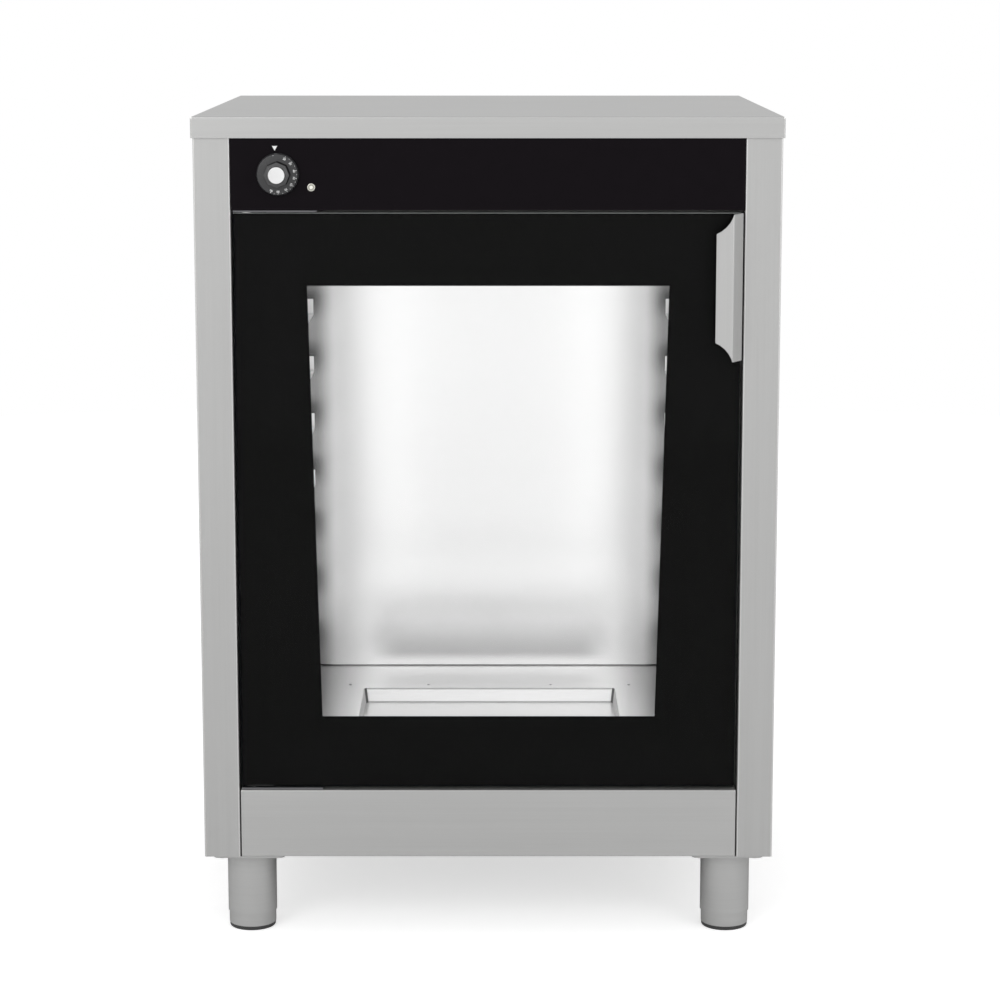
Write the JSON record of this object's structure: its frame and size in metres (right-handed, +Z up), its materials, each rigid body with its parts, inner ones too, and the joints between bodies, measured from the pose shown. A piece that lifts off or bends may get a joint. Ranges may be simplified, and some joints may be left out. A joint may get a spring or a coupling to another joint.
{
  "type": "proofing cabinet",
  "caption": "Under-counter proofing cabinet: steel body on adjustable legs, hinged glass door, tray runners over a heated water well, and a thermostat.",
  "frame": {"origin": "on the floor, below the centre of the cabinet's bounding box", "axes": "+Z up, -Y out of the front, +X to the right as seen from the front"},
  "size_m": [0.6, 0.58, 0.86],
  "materials": {
    "worktop_steel": "satin stainless sheet",
    "body_steel": "satin stainless sheet",
    "handle_steel": "satin stainless sheet",
    "chamber_steel": "bright stainless sheet",
    "runner_steel": "bright stainless sheet",
    "leg_steel": "satin stainless tube",
    "foot_steel": "satin stainless tube",
    "zinc": "zinc plated",
    "copper": "drawn copper",
    "lamp_metal": "bright",
    "lamp_lens": "clear cream plastic",
    "fascia_black": "satin black film",
    "print_black": "black enamel print",
    "glass": "clear toughened glass",
    "grey_rubber": "soft rubber",
    "knob_plastic": "dark grey moulded plastic",
    "cap_plastic": "white moulded plastic",
    "cream_plastic": "cream moulded plastic"
  },
  "bodies": {
    "cabinet": {"worktop": "worktop_steel", "side_panel_left": "body_steel", "side_panel_right": "body_steel", "back_panel": "body_steel", "base_panel": "body_steel", "plinth_panel": "body_steel", "front_frame": "body_steel", "control_panel": "body_steel", "control_fascia": "fascia_black", "chamber_side_left": "chamber_steel", "chamber_side_right": "chamber_steel", "chamber_ceiling": "chamber_steel", "chamber_back": "chamber_steel", "chamber_floor": "chamber_steel", "heating_element": "zinc", "thermostat_body": "zinc", "thermostat_bulb": "copper", "terminal_block": "cream_plastic", "cable_gland": "grey_rubber", "pilot_lamp_body": "lamp_metal", "pilot_lamp_lens": "lamp_lens", "hinge_plate_upper": "zinc", "hinge_plate_lower": "zinc", "runner_left_1": "runner_steel", "runner_right_1": "runner_steel", "runner_left_2": "runner_steel", "runner_right_2": "runner_steel", "runner_left_3": "runner_steel", "runner_right_3": "runner_steel", "runner_left_4": "runner_steel", "runner_right_4": "runner_steel", "runner_left_5": "runner_steel", "runner_right_5": "runner_steel", "runner_left_6": "runner_steel", "runner_right_6": "runner_steel", "runner_left_7": "runner_steel", "runner_right_7": "runner_steel", "runner_left_8": "runner_steel", "runner_right_8": "runner_steel", "leg_front_left": "leg_steel", "leg_front_right": "leg_steel", "leg_rear_left": "leg_steel", "leg_rear_right": "leg_steel"},
    "door": {"door_glass": "glass", "door_glass_border": "print_black", "door_frame": "body_steel", "door_gasket": "grey_rubber", "door_handle": "handle_steel", "hinge_block_upper": "knob_plastic", "hinge_block_lower": "knob_plastic"},
    "knob": {"thermostat_knob": "knob_plastic", "knob_cap": "cap_plastic", "thermostat_shaft": "zinc"},
    "front_left_foot": {"foot_front_left": "foot_steel"},
    "front_right_foot": {"foot_front_right": "foot_steel"},
    "rear_left_foot": {"foot_rear_left": "foot_steel"},
    "rear_right_foot": {"foot_rear_right": "foot_steel"}
  },
  "joints": [
    {"name": "door_hinge", "type": "hinge", "parent": "cabinet", "child": "door", "pos_m": [-0.2453, -0.26005, 0.4628], "axis": [0, 0, -1], "range_deg": [0, 120]},
    {"name": "knob_turn", "type": "hinge", "parent": "cabinet", "child": "knob", "pos_m": [-0.2123, -0.26905, 0.8023], "axis": [0, -1, 0], "range_deg": [0, 201]},
    {"name": "front_left_foot_height", "type": "slide", "parent": "cabinet", "child": "front_left_foot", "axis": [0, 0, -1], "range_m": [0, 0.025]},
    {"name": "front_right_foot_height", "type": "slide", "parent": "cabinet", "child": "front_right_foot", "axis": [0, 0, -1], "range_m": [0, 0.025]},
    {"name": "rear_left_foot_height", "type": "slide", "parent": "cabinet", "child": "rear_left_foot", "axis": [0, 0, -1], "range_m": [0, 0.025]},
    {"name": "rear_right_foot_height", "type": "slide", "parent": "cabinet", "child": "rear_right_foot", "axis": [0, 0, -1], "range_m": [0, 0.025]}
  ]
}
